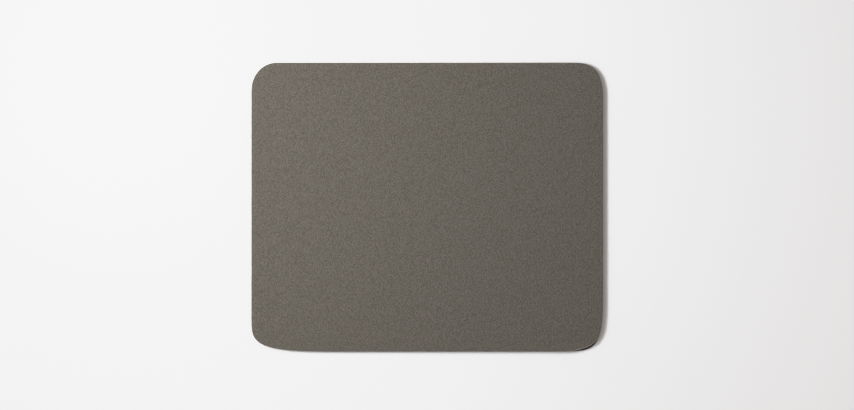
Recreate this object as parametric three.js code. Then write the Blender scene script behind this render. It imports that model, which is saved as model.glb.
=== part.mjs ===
// Cloth-topped mouse pad: five sheets laminated face to face, then die-cut together in one stroke.
// Millimetres, +Z up. The origin is on the desk under the middle of the pad, and +X runs along its long side.
import * as THREE from "three";

// Outline of the cutting die
const PAD_WIDTH = 215.9; // along X, 8 1/2 in
const PAD_DEPTH = 177.8; // along Y, 7 in
const CORNER_RADIUS = 15;

// Thicknesses of the sheets, from the desk up
const GRIP_BASE_THICKNESS = 0.6;
const BASE_BOND_THICKNESS = 0.1;
const FOAM_CORE_THICKNESS = 1.7;
const CLOTH_BOND_THICKNESS = 0.1;
const TOP_CLOTH_THICKNESS = 0.5;

// Shape of the cut edge
const CLOTH_CUT_HEIGHT = 0.2; // upright part of the cloth's edge, below its rounded shoulder
const FOAM_HOLLOW = 0.2; // how far the foam's wall springs back at half its height

// Facets
const CORNER_DIVISIONS = 8; // a rounded corner has twice as many facets
const SHOULDER_FACETS = 4;
const HOLLOW_FACETS = 6;

// The die's outline drawn in by inset all round, as points that run anticlockwise seen from above.
function outlinePoints(inset) {
  const radius = CORNER_RADIUS - inset;
  const cornerX = PAD_WIDTH / 2 - CORNER_RADIUS;
  const cornerY = PAD_DEPTH / 2 - CORNER_RADIUS;
  const quarterTurn = Math.PI / 2;
  const shape = new THREE.Shape();
  shape.absarc(cornerX, cornerY, radius, 0, quarterTurn);
  shape.absarc(-cornerX, cornerY, radius, quarterTurn, 2 * quarterTurn);
  shape.absarc(-cornerX, -cornerY, radius, 2 * quarterTurn, 3 * quarterTurn);
  shape.absarc(cornerX, -cornerY, radius, 3 * quarterTurn, 4 * quarterTurn);
  return shape.getPoints(CORNER_DIVISIONS);
}

// A closed sheet standing on z = 0. Its edge lists { height, inset } from the underside to the upper face.
function sheetGeometry(edge) {
  const rings = edge.map(({ height, inset }) =>
    outlinePoints(inset).map(({ x, y }) => new THREE.Vector3(x, y, height)),
  );
  const count = rings[0].length;
  const upperRing = (rings.length - 1) * count;
  const triangles = [];
  for (let ring = 0; ring < upperRing; ring += count) {
    for (let here = 0; here < count; here++) {
      const next = (here + 1) % count;
      triangles.push(ring + here, ring + next, ring + count + next);
      triangles.push(ring + here, ring + count + next, ring + count + here);
    }
  }
  for (const [a, b, c] of THREE.ShapeUtils.triangulateShape(outlinePoints(0), [])) {
    triangles.push(c, b, a);
    triangles.push(upperRing + a, upperRing + b, upperRing + c);
  }
  return new THREE.BufferGeometry().setFromPoints(rings.flat()).setIndex(triangles);
}

// A clean upright cut.
function straightEdge(thickness) {
  return [0, thickness].map((height) => ({ height, inset: 0 }));
}

// The cloth's edge: an upright cut under the shoulder that the die pinches round.
function shoulderedEdge(thickness) {
  const radius = thickness - CLOTH_CUT_HEIGHT;
  const edge = [{ height: 0, inset: 0 }];
  for (let step = 0; step <= SHOULDER_FACETS; step++) {
    const turn = ((step / SHOULDER_FACETS) * Math.PI) / 2;
    edge.push({ height: CLOTH_CUT_HEIGHT + radius * Math.sin(turn), inset: radius * (1 - Math.cos(turn)) });
  }
  return edge;
}

// The foam's edge: squeezed under the die, it springs back into a shallow hollow.
function hollowEdge(thickness) {
  const edge = [];
  for (let step = 0; step <= HOLLOW_FACETS; step++) {
    const rise = step / HOLLOW_FACETS;
    edge.push({ height: thickness * rise, inset: 4 * FOAM_HOLLOW * rise * (1 - rise) });
  }
  return edge;
}

// The sheets in the order in which they are laminated, from the desk up.
const sheets = [
  {
    // Thin solid rubber that keeps the pad from sliding
    name: "grip_base",
    thickness: GRIP_BASE_THICKNESS,
    cut: straightEdge,
    finish: { color: 0x1b1b1b, roughness: 0.7 },
  },
  {
    // Hot-melt film between the base and the foam
    name: "base_bond_film",
    thickness: BASE_BOND_THICKNESS,
    cut: straightEdge,
    finish: { color: 0x4a4641, roughness: 0.5 },
  },
  {
    // Black foamed rubber that gives under the wrist
    name: "foam_core",
    thickness: FOAM_CORE_THICKNESS,
    cut: hollowEdge,
    finish: { color: 0x232221, roughness: 0.95 },
  },
  {
    // Hot-melt film between the foam and the cloth
    name: "cloth_bond_film",
    thickness: CLOTH_BOND_THICKNESS,
    cut: straightEdge,
    finish: { color: 0xa39d90, roughness: 0.5 },
  },
  {
    // Knitted polyester that the mouse runs on
    name: "top_cloth",
    thickness: TOP_CLOTH_THICKNESS,
    cut: shoulderedEdge,
    finish: { color: 0x6a665e, roughness: 0.9 },
  },
];

const mousePad = new THREE.Group();
let height = 0;
for (const { name, thickness, cut, finish } of sheets) {
  const material = new THREE.MeshStandardMaterial({ ...finish, metalness: 0 });
  const mesh = new THREE.Mesh(sheetGeometry(cut(thickness)), material);
  mesh.name = name;
  mesh.position.z = height;
  mousePad.add(mesh);
  height += thickness;
}

export default mousePad;
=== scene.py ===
import math

import bmesh
import bpy
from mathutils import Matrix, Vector


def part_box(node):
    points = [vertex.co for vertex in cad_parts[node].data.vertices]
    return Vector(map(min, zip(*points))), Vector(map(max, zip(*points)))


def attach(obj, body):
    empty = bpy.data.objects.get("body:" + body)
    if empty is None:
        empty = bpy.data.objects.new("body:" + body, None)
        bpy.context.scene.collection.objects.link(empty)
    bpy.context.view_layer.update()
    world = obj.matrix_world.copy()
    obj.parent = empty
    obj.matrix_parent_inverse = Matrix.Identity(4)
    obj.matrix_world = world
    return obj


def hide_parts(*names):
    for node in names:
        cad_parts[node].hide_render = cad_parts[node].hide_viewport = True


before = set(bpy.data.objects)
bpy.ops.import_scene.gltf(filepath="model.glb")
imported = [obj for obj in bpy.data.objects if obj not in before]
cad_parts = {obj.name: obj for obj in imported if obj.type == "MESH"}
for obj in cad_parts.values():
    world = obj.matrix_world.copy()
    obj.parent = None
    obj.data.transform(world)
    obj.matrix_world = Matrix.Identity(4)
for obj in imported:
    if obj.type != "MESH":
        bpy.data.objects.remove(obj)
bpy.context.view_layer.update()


# Grip base: a thin sheet of solid black rubber that holds on to the desk. A patterned roll presses raised
# diamonds into its underside while it is hot, and the die later cuts straight through the pattern.
base_low, base_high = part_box("grip_base")
pad_width, pad_depth, base_thickness = base_high - base_low
base_facet = 0.001
diamond_pitch = 0.0025
groove_half_width = 0.0004
groove_depth = 0.00025
clean_rubber = (0.010, 0.010, 0.010, 1)
dusty_rubber = (0.055, 0.052, 0.047, 1)
crease_angle = math.radians(40)
hairbreadth = 1e-6

# The die cuts a little short of the pad's nominal depth. Each of its corners has its own curve: how far it
# runs along X and along Y, and how full it is. A fullness of 0.5 is an ellipse, and a larger one is squarer.
depth_cut_short = 0.0004
die_depth = pad_depth - depth_cut_short
die_clearance = 0.001
die_corners = {
    (-1, 1): (0.0154, 0.0170, 0.50),
    (1, 1): (0.0173, 0.0222, 0.59),
    (-1, -1): (0.0720, 0.0241, 0.75),
    (1, -1): (0.0322, 0.0520, 0.78),
}

# The die's blade leaned at the front right corner, so there the cut slants in towards the cloth.
lean_place = Vector((0.0990, -0.0868, 0))
lean_reach = 0.0125
full_lean = Vector((-0.0009, 0.0017, 0))


def pick(kind, wanted):
    """Selects those vertices, edges or faces of the mesh in edit mode that are wanted, and counts them."""
    mesh = bpy.context.edit_object.data
    bpy.ops.mesh.select_mode(type=kind)
    bpy.ops.mesh.select_all(action="DESELECT")
    shape = bmesh.from_edit_mesh(mesh)
    items = {"VERT": shape.verts, "EDGE": shape.edges, "FACE": shape.faces}[kind]
    picked = [item for item in items if wanted(item)]
    for item in picked:
        item.select_set(True)
    bmesh.update_edit_mesh(mesh)
    return len(picked)


def is_upright(edge):
    """Whether an edge joins two heights."""
    return abs(edge.verts[0].co.z - edge.verts[1].co.z) > hairbreadth


def cut_with_die(name, bottom, top, facet, low_lean=0, high_lean=0):
    """A closed slab with the die's outline between two heights, with edge facets about as long as facet,
    drawn in by these shares of the blade's lean at its bottom and its top. It is left in edit mode."""
    bpy.ops.object.select_all(action="DESELECT")
    bpy.ops.mesh.primitive_plane_add(size=1, enter_editmode=True)
    piece = bpy.context.object
    piece.name = name
    piece.data.name = name
    bpy.ops.transform.resize(value=(pad_width, die_depth, 1))
    bpy.ops.transform.translate(value=(0, 0, bottom))
    for (side_x, side_y), (run_x, run_y, fullness) in die_corners.items():
        square = Vector((side_x * pad_width / 2, side_y * die_depth / 2, bottom))
        run = min(run_x, run_y)
        arc = round(math.pi / 2 * max(run_x, run_y) / facet)
        pick("VERT", lambda vertex: (vertex.co - square).length < hairbreadth)
        bpy.ops.mesh.bevel(affect="VERTICES", offset=run, segments=arc, profile=fullness)
        pick("VERT", lambda vertex: max(map(abs, vertex.co - square)) < run + hairbreadth)
        bpy.ops.transform.resize(value=(run_x / run, run_y / run, 1), center_override=square)
    while pick("EDGE", lambda edge: edge.calc_length() > 1.5 * facet):
        bpy.ops.mesh.subdivide(number_cuts=1)
    bpy.ops.mesh.select_all(action="SELECT")
    bpy.ops.mesh.extrude_region_move(TRANSFORM_OT_translate={"value": (0, 0, top - bottom)})
    for height, lean in ((bottom, low_lean), (top, high_lean)):
        pick("VERT", lambda vertex: abs(vertex.co.z - height) < hairbreadth)
        bpy.ops.mesh.hide(unselected=True)
        pick("VERT", lambda vertex: not vertex.hide and (vertex.co - lean_place).xy.length < 2 * facet)
        bpy.ops.transform.translate(
            value=full_lean * lean,
            use_proportional_edit=True,
            proportional_edit_falloff="SMOOTH",
            proportional_size=lean_reach,
        )
        bpy.ops.mesh.reveal(select=False)
    bpy.ops.mesh.select_all(action="SELECT")
    bpy.ops.mesh.normals_make_consistent(inside=False)
    return piece


def put_in_place(piece, node):
    """Smooths a finished piece and lets it stand for its node in the pad."""
    bpy.ops.object.mode_set(mode="OBJECT")
    bpy.ops.object.shade_smooth_by_angle(angle=crease_angle)
    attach(piece, "root")
    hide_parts(node)


die = cut_with_die("die", base_low.z - die_clearance, base_high.z + die_clearance, base_facet)
bpy.ops.object.mode_set(mode="OBJECT")

roll_cells = math.ceil((pad_width + pad_depth) / math.sqrt(2) / diamond_pitch)
bpy.ops.object.select_all(action="DESELECT")
bpy.ops.mesh.primitive_grid_add(
    x_subdivisions=roll_cells,
    y_subdivisions=roll_cells,
    size=roll_cells * diamond_pitch,
    enter_editmode=True,
)
grip_base = bpy.context.object
grip_base.name = "embossed_grip_base"
bpy.ops.transform.rotate(value=math.radians(45), orient_axis="Z", center_override=(0, 0, 0))
bpy.ops.transform.translate(value=(0, 0, base_low.z + groove_depth))
bpy.ops.mesh.flip_normals()
bpy.ops.mesh.inset(use_individual=True, thickness=groove_half_width, depth=groove_depth)
pick("EDGE", lambda edge: edge.is_boundary)
bpy.ops.mesh.extrude_edges_move(TRANSFORM_OT_translate={"value": (0, 0, base_thickness - groove_depth)})
bpy.ops.mesh.edge_face_add()
bpy.ops.mesh.select_all(action="SELECT")
bpy.ops.mesh.normals_make_consistent(inside=False)
bpy.ops.object.mode_set(mode="OBJECT")
stroke = grip_base.modifiers.new("stroke", "BOOLEAN")
stroke.operation = "INTERSECT"
stroke.solver = "EXACT"
stroke.object = die
bpy.ops.object.modifier_apply(modifier="stroke")
bpy.data.objects.remove(die)
put_in_place(grip_base, "grip_base")


def fill(tree, node, inputs):
    """Fills a node's inputs, each by its name or number, from other sockets or with plain values."""
    for name, value in dict(inputs).items():
        if isinstance(value, bpy.types.NodeSocket):
            tree.links.new(value, node.inputs[name])
        else:
            node.inputs[name].default_value = value


def wire(tree, kind, inputs=(), **settings):
    """Adds a node with these settings to a tree, and fills its inputs."""
    node = tree.nodes.new(kind)
    for name, value in settings.items():
        setattr(node, name, value)
    fill(tree, node, inputs)
    return node


def calculate(tree, operation, *values):
    """The result of a Math node on sockets or numbers."""
    return wire(tree, "ShaderNodeMath", enumerate(values), operation=operation).outputs["Value"]


def ramp(tree, value, start, end, **settings):
    """A share that goes from 0 to 1 as a value goes from start to end."""
    inputs = {"Value": value, "From Min": start, "From Max": end}
    return wire(tree, "ShaderNodeMapRange", inputs, **settings).outputs["Result"]


def noise(tree, place, scale, detail, roughness=0.5):
    """Cloudy noise, with this many clouds to the metre."""
    inputs = {"Vector": place, "Scale": scale, "Detail": detail, "Roughness": roughness}
    return wire(tree, "ShaderNodeTexNoise", inputs).outputs["Fac"]


def blend_colours(tree, share, start, end):
    """A colour that goes from start to end as share goes from 0 to 1. The Mix node's sockets for colours are
    given by number, because its sockets for numbers and vectors have the same names."""
    return wire(tree, "ShaderNodeMix", {0: share, 6: start, 7: end}, data_type="RGBA").outputs[2]


def relief(tree, height, strength, depth):
    """A normal that follows a height from 0 to 1, this deep at full strength."""
    inputs = {"Height": height, "Strength": strength, "Distance": depth}
    return wire(tree, "ShaderNodeBump", inputs).outputs["Normal"]


def grouped(name, inputs, outputs):
    """A new shader node group with these sockets, each a name and a type, its inputs and its last node."""
    group = bpy.data.node_groups.new(name, "ShaderNodeTree")
    for way, sockets in (("INPUT", inputs), ("OUTPUT", outputs)):
        for socket, kind in sockets.items():
            group.interface.new_socket(socket, in_out=way, socket_type="NodeSocket" + kind)
    return group, group.nodes.new("NodeGroupInput").outputs, group.nodes.new("NodeGroupOutput")


def finish_of(piece, name):
    """Gives a piece a new material, and returns its node tree, its shader and the piece's own coordinates."""
    material = bpy.data.materials.new(name)
    material.use_nodes = True
    piece.data.materials.clear()
    piece.data.materials.append(material)
    tree = material.node_tree
    own_place = wire(tree, "ShaderNodeTexCoord").outputs["Object"]
    return tree, tree.nodes["Principled BSDF"], own_place


# The skin of black rubber: fine grain, and a pale, blotchy bloom that wax leaves as it comes to the surface.
# Both make it rougher.
smooth_skin = 0.5
grain_roughens = 0.25
bloom_roughens = 0.2
bare_blotch = 0.42
full_blotch = 0.75
rubber_skin, skin_in, skin_end = grouped(
    "rubber_skin",
    {"Place": "Vector", "Grain Size": "Float", "Bloom": "Float"},
    {"Bloom": "Float", "Roughness": "Float", "Height": "Float"},
)
grain_scale = calculate(rubber_skin, "DIVIDE", 1, skin_in["Grain Size"])
grain = noise(rubber_skin, skin_in["Place"], grain_scale, detail=3)
blotches = noise(rubber_skin, skin_in["Place"], scale=60, detail=5, roughness=0.65)
patches = ramp(rubber_skin, blotches, bare_blotch, full_blotch)
bloom = calculate(rubber_skin, "MULTIPLY", patches, skin_in["Bloom"])
grainy_skin = calculate(rubber_skin, "MULTIPLY_ADD", grain, grain_roughens, smooth_skin)
bloomed_skin = calculate(rubber_skin, "MULTIPLY_ADD", bloom, bloom_roughens, grainy_skin)
fill(rubber_skin, skin_end, {"Bloom": bloom, "Roughness": bloomed_skin, "Height": grain})

# Dust settles only in the grooves, and only where the bloom holds it.
tree, shader, own_place = finish_of(grip_base, "embossed_black_rubber")
skin_inputs = {"Place": own_place, "Grain Size": 0.00015, "Bloom": 0.6}
skin = wire(tree, "ShaderNodeGroup", skin_inputs, node_tree=rubber_skin).outputs
height_above_desk = wire(tree, "ShaderNodeSeparateXYZ", {"Vector": own_place}).outputs["Z"]
in_groove = ramp(tree, height_above_desk, base_low.z, base_low.z + groove_depth)
settled_dust = calculate(tree, "MULTIPLY", skin["Bloom"], in_groove)
fill(
    tree,
    shader,
    {
        "Base Color": blend_colours(tree, settled_dust, clean_rubber, dusty_rubber),
        "Roughness": skin["Roughness"],
        "Normal": relief(tree, skin["Height"], strength=0.5, depth=0.00004),
    },
)


# Base bond: a hot-melt film that glues the base to the foam. Rolled on hot and squeezed thin, it shows at the
# cut edge as a smoky line that is pressed out a little here and drawn in a little there.
film_facet = 0.001
film_wander = 0.00004
wander_length = 0.002


def ruffle(piece, group, kind, size, strength, mid_level, direction="NORMAL"):
    """Moves the picked vertices of a piece, kept as a vertex group, by a noise of this kind and size, and
    leaves the piece in object mode. The noise goes by place alone, so each run gives the same shape."""
    bpy.ops.object.vertex_group_add()
    bpy.ops.object.vertex_group_assign()
    piece.vertex_groups.active.name = group
    bpy.ops.object.mode_set(mode="OBJECT")
    texture = bpy.data.textures.new(group, kind)
    texture.noise_scale = size
    modifier = piece.modifiers.new(group, "DISPLACE")
    modifier.texture = texture
    modifier.texture_coords = "LOCAL"
    modifier.direction = direction
    modifier.vertex_group = group
    modifier.mid_level = mid_level
    modifier.strength = strength
    bpy.ops.object.modifier_apply(modifier=group)


def squeeze_film(name, node, lean=0):
    """A bond film cut with the pad, its edge rounded and pressed out unevenly by the rollers."""
    low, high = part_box(node)
    film = cut_with_die(name, low.z, high.z, film_facet, lean, lean)
    pick("EDGE", is_upright)
    bpy.ops.mesh.subdivide(number_cuts=1)
    middle = (low.z + high.z) / 2
    pick("VERT", lambda vertex: abs(vertex.co.z - middle) < hairbreadth)
    bpy.ops.transform.shrink_fatten(value=film_wander)
    ruffle(film, "pressed_edge", "CLOUDS", wander_length, film_wander, mid_level=0)
    return film


base_bond = squeeze_film("smoky_bond_line", "base_bond_film")
put_in_place(base_bond, "base_bond_film")

# The look of hot-melt film: slightly cloudy, and duller where it is cloudier.
clear_roughness = 0.3
cloud_roughens = 0.3
hot_melt, melt_in, melt_end = grouped(
    "hot_melt",
    {"Place": "Vector", "Clear": "Color", "Cloudy": "Color"},
    {"Color": "Color", "Roughness": "Float"},
)
cloud = noise(hot_melt, melt_in["Place"], scale=350, detail=4)
fill(
    hot_melt,
    melt_end,
    {
        "Color": blend_colours(hot_melt, cloud, melt_in["Clear"], melt_in["Cloudy"]),
        "Roughness": calculate(hot_melt, "MULTIPLY_ADD", cloud, cloud_roughens, clear_roughness),
    },
)


def coat_with_hot_melt(film, name, clear, cloudy):
    """Gives a bond film its material, between a clear and a cloudy colour."""
    tree, shader, own_place = finish_of(film, name)
    melt_inputs = {"Place": own_place, "Clear": clear, "Cloudy": cloudy}
    melt = wire(tree, "ShaderNodeGroup", melt_inputs, node_tree=hot_melt).outputs
    fill(tree, shader, {"Base Color": melt["Color"], "Roughness": melt["Roughness"]})


coat_with_hot_melt(
    base_bond,
    "smoky_hot_melt",
    clear=(0.030, 0.027, 0.024, 1),
    cloudy=(0.085, 0.078, 0.068, 1),
)


# Foam core: black foamed rubber, skived to thickness from a block, so that its cells lie open. Squeezed under
# the die, its cut wall springs back hollow, and the cells that the knife opened leave it pitted.
foam_low, foam_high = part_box("foam_core")
foam_thickness = foam_high.z - foam_low.z
foam_facet = 0.0002
foam_rings = 10
foam_hollow = 0.0002
cell_size = 0.0005
cell_depth = 0.00012
cell_rim = 0.6
wall_reach = 0.25
grain_share = 0.3
# The darker colour of the open cells is painted shade in the pits.
shaded_cell_black = (0.016, 0.0115, 0.0085, 1)
wall_black = (0.064, 0.047, 0.035, 1)
foam_bloom = (0.092, 0.069, 0.053, 1)
bond_lean = 0.70

foam_core = cut_with_die("foam_slab", foam_low.z, foam_high.z, foam_facet, 0, bond_lean)
pick("EDGE", is_upright)
bpy.ops.mesh.subdivide(number_cuts=foam_rings - 1)
for ring in range(1, foam_rings):
    rise = ring / foam_rings
    ring_height = foam_low.z + rise * foam_thickness
    pick("VERT", lambda vertex: abs(vertex.co.z - ring_height) < hairbreadth)
    bpy.ops.transform.shrink_fatten(value=-4 * foam_hollow * rise * (1 - rise))
pick("VERT", lambda vertex: foam_low.z + hairbreadth < vertex.co.z < foam_high.z - hairbreadth)
ruffle(foam_core, "cut_wall", "VORONOI", cell_size, cell_depth, mid_level=cell_rim)
put_in_place(foam_core, "foam_core")

# The cells are painted darker than the walls between them, as painted shade in the open pits, and the
# bloom is paler still.
tree, shader, own_place = finish_of(foam_core, "open_cell_black_foam")
skin_inputs = {"Place": own_place, "Grain Size": 0.0001, "Bloom": 0.5}
skin = wire(tree, "ShaderNodeGroup", skin_inputs, node_tree=rubber_skin).outputs
cell_inputs = {"Vector": own_place, "Scale": 1 / cell_size}
cells = wire(tree, "ShaderNodeTexVoronoi", cell_inputs, feature="DISTANCE_TO_EDGE").outputs["Distance"]
cell_wall = ramp(tree, cells, wall_reach, 0)
shaded_open_cells = blend_colours(tree, cell_wall, shaded_cell_black, wall_black)
foam_height = calculate(tree, "MULTIPLY_ADD", skin["Height"], grain_share, cell_wall)
fill(
    tree,
    shader,
    {
        "Base Color": blend_colours(tree, skin["Bloom"], shaded_open_cells, foam_bloom),
        "Roughness": 0.95,
        "Specular IOR Level": 0.3,
        "Normal": relief(tree, foam_height, strength=0.7, depth=0.00008),
    },
)


# Cloth bond: the same kind of hot-melt film, milky, between the foam and the cloth. The cloth's back drinks
# some of it in, and the rest shows at the edge as a thin pale line.
cloth_bond = squeeze_film("milky_bond_line", "cloth_bond_film", bond_lean)
put_in_place(cloth_bond, "cloth_bond_film")
coat_with_hot_melt(
    cloth_bond,
    "milky_hot_melt",
    clear=(0.20, 0.185, 0.155, 1),
    cloudy=(0.36, 0.335, 0.285, 1),
)


# Top cloth: fine knitted polyester, bonded flat so that a mouse runs smoothly. A taupe melange yarn covers a
# pale ground yarn. The die pinches the edge round, bares the ground yarn along the cut, and presses a shallow
# dip along the rim, where the colour is a little lighter, towards the ground yarn's.
cloth_low, cloth_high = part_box("top_cloth")
cloth_facet = 0.0015
back_lean = 0.73
face_lean = 1
shoulder_radius = 0.0003
shoulder_facets = 5
rim_drop = 0.00015
rim_width = 0.004
rim_rings = 6
rim_top = cloth_high.z - rim_drop
waviness = 0.000012
wave_size = 0.006
wave_facet = 0.0025
straight_up = 0.99999


def is_level(face):
    """Whether a face looks straight up."""
    return face.normal.z > straight_up


top_cloth = cut_with_die("knit_cloth_sheet", cloth_low.z, rim_top, cloth_facet, back_lean, face_lean)
pick("FACE", is_level)
bpy.ops.mesh.region_to_loop()
bpy.ops.mesh.bevel(affect="EDGES", offset=shoulder_radius, segments=shoulder_facets, profile=0.5)

# Each ring inwards rises less than the one before, so the dip runs out smoothly into the running face.
pick("FACE", is_level)
for ring in range(rim_rings):
    ring_rise = rim_drop * (2 * (rim_rings - ring) - 1) / rim_rings ** 2
    bpy.ops.mesh.inset(thickness=rim_width / rim_rings, depth=ring_rise)

# The running face is cut into small squares, which then rise and fall a little.
for axis, length in ((Vector((1, 0, 0)), pad_width), (Vector((0, 1, 0)), pad_depth)):
    cuts = round(length / wave_facet)
    for cut in range(1, cuts):
        pick("FACE", is_level)
        bpy.ops.mesh.bisect(plane_co=axis * length * (cut / cuts - 0.5), plane_no=axis)
pick("VERT", lambda vertex: all(map(is_level, vertex.link_faces)))
ruffle(top_cloth, "running_face", "CLOUDS", wave_size, waviness, mid_level=0.5, direction="Z")
put_in_place(top_cloth, "top_cloth")

# The knit: columns of V-shaped stitches. Each stitch has a tone of its own, and stands out a little from the
# four around it. Painted shade makes each stitch darker in the valleys between its legs and lighter on its
# raised tops.
wale_pitch = 0.00047
course_pitch = 0.000535
stitch_slant = 0.8
leg_end_height = 0.4
valley_shade = 0.8
height_brightens = 0.3
even_tone = 0.5
tone_shares = {(0, 0): 1, (-1, 0): -0.08, (1, 0): -0.08, (0, -1): -0.07, (0, 1): -0.07}
knit, knit_in, knit_end = grouped(
    "melange_knit",
    {"Place": "Vector", "Unevenness": "Float"},
    {"Shade": "Float", "Height": "Float"},
)
knit_place = wire(knit, "ShaderNodeSeparateXYZ", {"Vector": knit_in["Place"]}).outputs
wales = calculate(knit, "DIVIDE", knit_place["X"], wale_pitch)
courses = calculate(knit, "DIVIDE", knit_place["Y"], course_pitch)
across_stitch = calculate(knit, "MULTIPLY_ADD", calculate(knit, "FRACT", wales), 2, -1)
off_centre = calculate(knit, "ABSOLUTE", across_stitch)
slanted = calculate(knit, "MULTIPLY_ADD", off_centre, -stitch_slant, courses)
across_leg = calculate(knit, "MULTIPLY_ADD", off_centre, 2, -1)
leg = calculate(knit, "SUBTRACT", 1, calculate(knit, "MULTIPLY", across_leg, across_leg))
along_leg = calculate(knit, "MULTIPLY_ADD", calculate(knit, "FRACT", slanted), 2, -1)
bulge = calculate(knit, "SUBTRACT", 1, calculate(knit, "MULTIPLY", along_leg, along_leg))
leg_height = calculate(knit, "MULTIPLY_ADD", bulge, 1 - leg_end_height, leg_end_height)
stitch = calculate(knit, "MULTIPLY", calculate(knit, "SQRT", leg), leg_height)
stitch_number = wire(
    knit,
    "ShaderNodeCombineXYZ",
    {"X": calculate(knit, "FLOOR", wales), "Y": calculate(knit, "FLOOR", slanted)},
).outputs["Vector"]
contrast = 0
for steps, share in tone_shares.items():
    other = wire(knit, "ShaderNodeVectorMath", {0: stitch_number, 1: (*steps, 0)}, operation="ADD")
    yarn_inputs = {"Vector": other.outputs["Vector"]}
    yarn = wire(knit, "ShaderNodeTexWhiteNoise", yarn_inputs, noise_dimensions="2D").outputs["Value"]
    yarn_tone = calculate(knit, "SUBTRACT", yarn, even_tone)
    contrast = calculate(knit, "MULTIPLY_ADD", yarn_tone, share, contrast)
tone = calculate(knit, "MULTIPLY_ADD", contrast, knit_in["Unevenness"], 1)
# Painted shade: darker in the valleys between the legs, lighter on the raised stitch tops.
depth_shade = calculate(knit, "MULTIPLY_ADD", stitch, height_brightens, valley_shade)
fill(knit, knit_end, {"Shade": calculate(knit, "MULTIPLY", tone, depth_shade), "Height": stitch})

# The cloth lies a little askew on the pad. Down the rim dip the colour turns a little lighter, towards the
# ground yarn, which takes over on the lower half of the round shoulder.
knit_turn = math.radians(-1.75)
darkest_shade = 0.2
lightest_shade = 1.8
dark_yarn_and_valley_shade = (0.0498, 0.0442, 0.0214, 1)
light_yarn_and_stitch_top_light = (0.1970, 0.1810, 0.1664, 1)
ground_yarn = (0.50, 0.46, 0.42, 1)
rim_lighter_share = 0.015
tree, shader, own_place = finish_of(top_cloth, "taupe_knit")
laid_askew = wire(tree, "ShaderNodeMapping", {"Vector": own_place, "Rotation": (0, 0, knit_turn)})
stitch_inputs = {"Place": laid_askew.outputs["Vector"], "Unevenness": 0.94}
stitches = wire(tree, "ShaderNodeGroup", stitch_inputs, node_tree=knit).outputs
# The dark and light ends stand for the yarn's own tone and also for the painted valley shade and stitch-top
# light.
light_share = ramp(tree, stitches["Shade"], darkest_shade, lightest_shade)
taupe = blend_colours(tree, light_share, dark_yarn_and_valley_shade, light_yarn_and_stitch_top_light)
height_in_cloth = wire(tree, "ShaderNodeSeparateXYZ", {"Vector": own_place}).outputs["Z"]
# Down the rim dip the colour blends a little towards the ground yarn's.
down_the_rim = ramp(tree, height_in_cloth, cloth_high.z, rim_top)
rim_lighter = calculate(tree, "MULTIPLY", down_the_rim, rim_lighter_share)
taupe_lighter_at_rim = blend_colours(tree, rim_lighter, taupe, ground_yarn)
face_share = ramp(tree, height_in_cloth, rim_top - shoulder_radius, rim_top - shoulder_radius / 2)
fill(
    tree,
    shader,
    {
        "Base Color": blend_colours(tree, face_share, ground_yarn, taupe_lighter_at_rim),
        "Roughness": 0.85,
        "Sheen Weight": 0.15,
        "Sheen Roughness": 0.5,
        "Specular IOR Level": 0.3,
        "Normal": relief(tree, stitches["Height"], strength=0.6, depth=0.00006),
    },
)


# Studio: a pale matt floor that fades out into a warm, pale room. A far, cool window on the left throws the
# thin shadow on the right, and a small softbox near the back left corner lifts that side. The camera looks
# straight down through a short telephoto lens.
floor_gap = 0.00005
fade_start = 0.29
fade_end = 0.40
bpy.ops.object.select_all(action="DESELECT")
bpy.ops.mesh.primitive_plane_add(size=2 * fade_end, location=(0, 0, base_low.z - floor_gap))
floor = bpy.context.object
floor.name = "studio_floor"
bpy.ops.object.transform_apply(location=True)
tree, shader, own_place = finish_of(floor, "pale_floor")
from_pad = wire(tree, "ShaderNodeVectorMath", {0: own_place}, operation="LENGTH").outputs["Value"]
fill(
    tree,
    shader,
    {
        "Base Color": (0.88, 0.88, 0.89, 1),
        "Roughness": 0.9,
        "Specular IOR Level": 0.1,
        "Alpha": ramp(tree, from_pad, fade_end, fade_start, interpolation_type="SMOOTHSTEP"),
    },
)

horizon_rise = 0.05
overhead_rise = 0.25
horizon_light = (0.95, 0.95, 0.96, 1)
overhead_light = (0.385, 0.357, 0.330, 1)
room = bpy.data.worlds.new("pale_room")
room.use_nodes = True
tree = room.node_tree
gaze = wire(tree, "ShaderNodeTexCoord").outputs["Generated"]
gaze_rise = wire(tree, "ShaderNodeSeparateXYZ", {"Vector": gaze}).outputs["Z"]
overhead = ramp(tree, gaze_rise, horizon_rise, overhead_rise)
room_light = blend_colours(tree, overhead, horizon_light, overhead_light)
fill(tree, tree.nodes["Background"], {"Color": room_light})
bpy.context.scene.world = room


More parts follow.
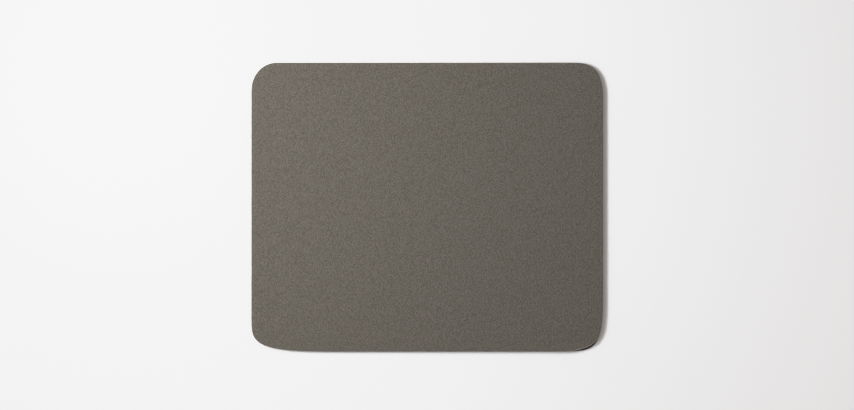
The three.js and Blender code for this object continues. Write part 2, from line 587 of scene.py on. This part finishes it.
def hang_light(name, place, aim, size, watts, spread, colour):
    """A rectangular light of this size that faces its aim and that the camera doesn't see."""
    data = bpy.data.lights.new(name, "AREA")
    data.shape = "RECTANGLE"
    data.size, data.size_y = size
    data.energy = watts
    data.spread = spread
    data.color = colour
    light = bpy.data.objects.new(name, data)
    bpy.context.scene.collection.objects.link(light)
    light.location = place
    light.rotation_euler = (aim - place).to_track_quat("-Z", "Y").to_euler()
    light.visible_camera = False


window_distance = 20
window_rise = math.radians(38.2)
window_turn = math.radians(3)
window_way = Vector((
    -math.cos(window_rise) * math.cos(window_turn),
    math.cos(window_rise) * math.sin(window_turn),
    math.sin(window_rise),
))
hang_light(
    "far_window",
    place=window_way * window_distance,
    aim=Vector((0, 0, 0)),
    size=(12, 11.5),
    watts=1580,
    spread=math.radians(180),
    colour=(0.94, 1.0, 1.07),
)
hang_light(
    "left_softbox",
    place=Vector((-0.346, 0.122, 0.36)),
    aim=Vector((-0.04, 0.05, 0)),
    size=(0.30, 0.12),
    watts=0.77,
    spread=math.radians(110),
    colour=(1, 1, 1),
)

photo_width = 854
photo_height = 410
pad_width_in_photo = 351.6
pad_centre_in_photo = (426.65, 206.7)
camera_data = bpy.data.cameras.new("photo_camera")
camera_data.lens = 85
camera_data.sensor_width = 36
camera = bpy.data.objects.new("photo_camera", camera_data)
bpy.context.scene.collection.objects.link(camera)
metres_per_pixel = pad_width / pad_width_in_photo
camera_height = metres_per_pixel * photo_width * camera_data.lens / camera_data.sensor_width
camera.location = (
    ((photo_width - 1) / 2 - pad_centre_in_photo[0]) * metres_per_pixel,
    (pad_centre_in_photo[1] - (photo_height - 1) / 2) * metres_per_pixel,
    cloth_high.z + camera_height,
)
bpy.context.scene.camera = camera

# The film's response: true in the shadows and middle tones, with a soft shoulder under white.
brightest = 2
response = bpy.context.scene.view_settings
response.view_transform = "Standard"
response.use_curve_mapping = True
response.curve_mapping.white_level = (brightest, brightest, brightest)
film_curve = response.curve_mapping.curves[3]
for scene_light, film_tone in ((0.3, 0.3), (0.5, 0.54), (0.77, 0.85), (1.16, 0.91), (1.6, 0.96)):
    film_curve.points.new(scene_light / brightest, film_tone)
response.curve_mapping.update()
